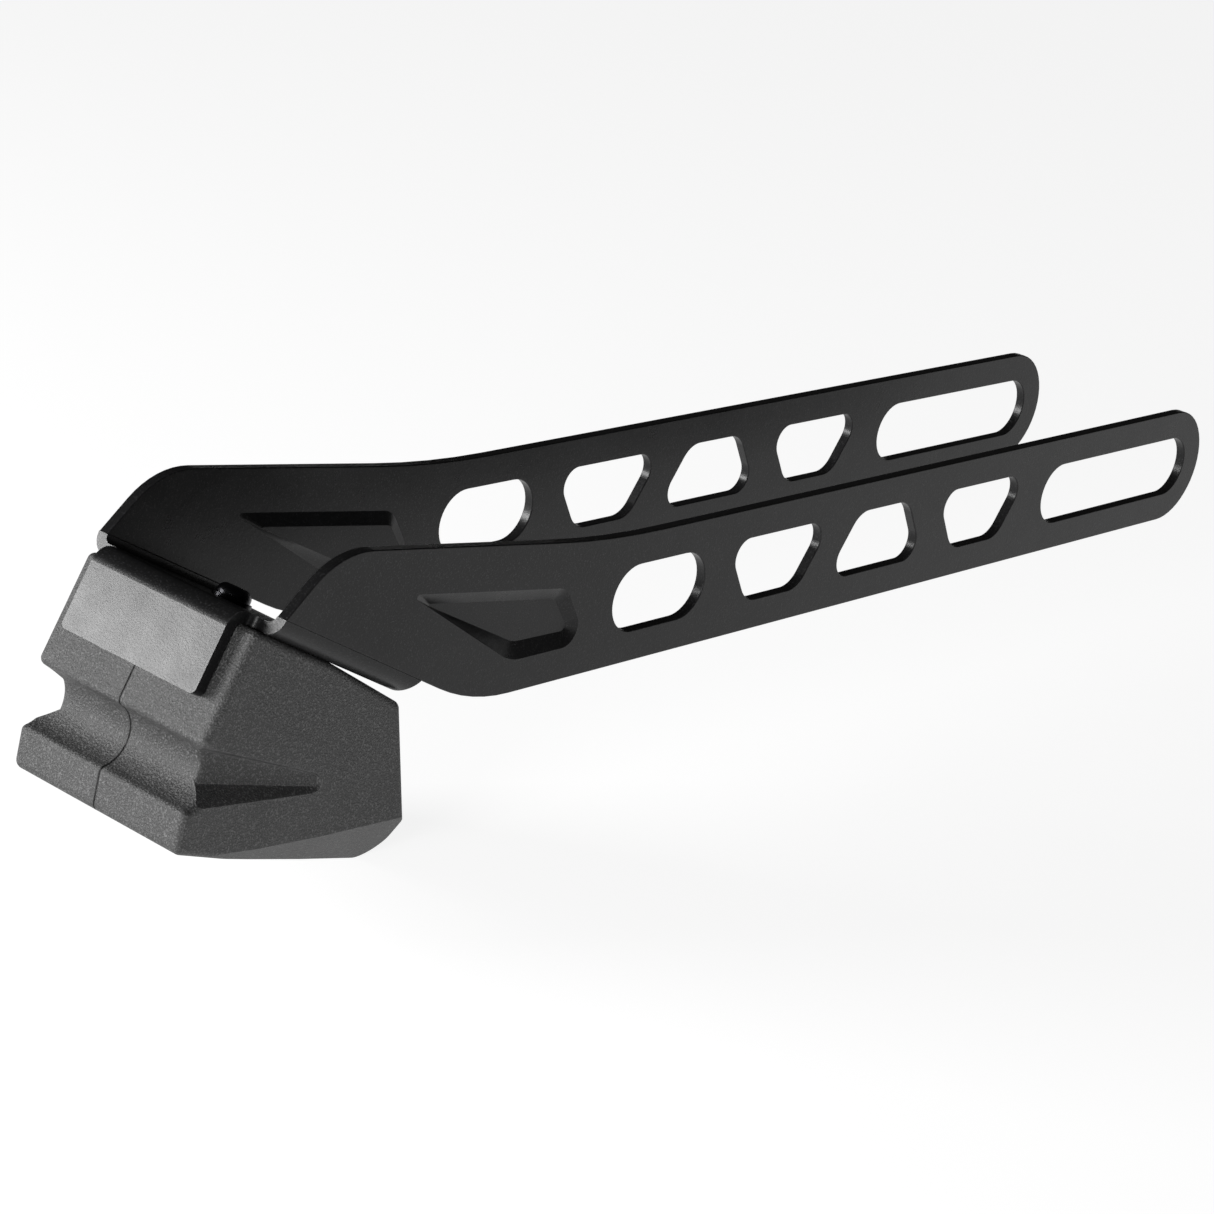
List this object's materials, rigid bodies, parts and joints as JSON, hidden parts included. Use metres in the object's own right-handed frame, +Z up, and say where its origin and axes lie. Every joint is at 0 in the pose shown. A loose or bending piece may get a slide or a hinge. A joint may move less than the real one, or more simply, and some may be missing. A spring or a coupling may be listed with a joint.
{
  "type": "tailgate step",
  "caption": "Folded steel step bracket with two long slotted arms and a bolted two-piece moulded foot block grooved to rest on a round bar.",
  "frame": {"origin": "on the axis of the bar groove in the foot block's front, on the centre plane between the two arms", "axes": "+X across the step along the groove axis, +Y along the arms from the foot block to the slotted ends, +Z up"},
  "size_m": [0.102, 0.6655, 0.1412],
  "materials": {
    "powder_coat": "satin black powder coat with fine grain",
    "moulded_block": "black moulded plastic with spark-eroded grain",
    "black_oxide": "black oxide with a light oil sheen",
    "zinc_steel": "bright zinc plate",
    "insert_brass": "turned brass",
    "ground_steel": "ground steel"
  },
  "bodies": {
    "root": {"bracket": "powder_coat", "foot_block_right": "moulded_block", "foot_block_left": "moulded_block", "web_bolt": "black_oxide", "web_washer": "black_oxide", "clamp_plate": "zinc_steel", "clamp_nut": "zinc_steel", "cross_screws": "black_oxide", "cross_washers": "zinc_steel", "threaded_inserts": "insert_brass", "dowel_pins": "ground_steel"}
  },
  "joints": []
}
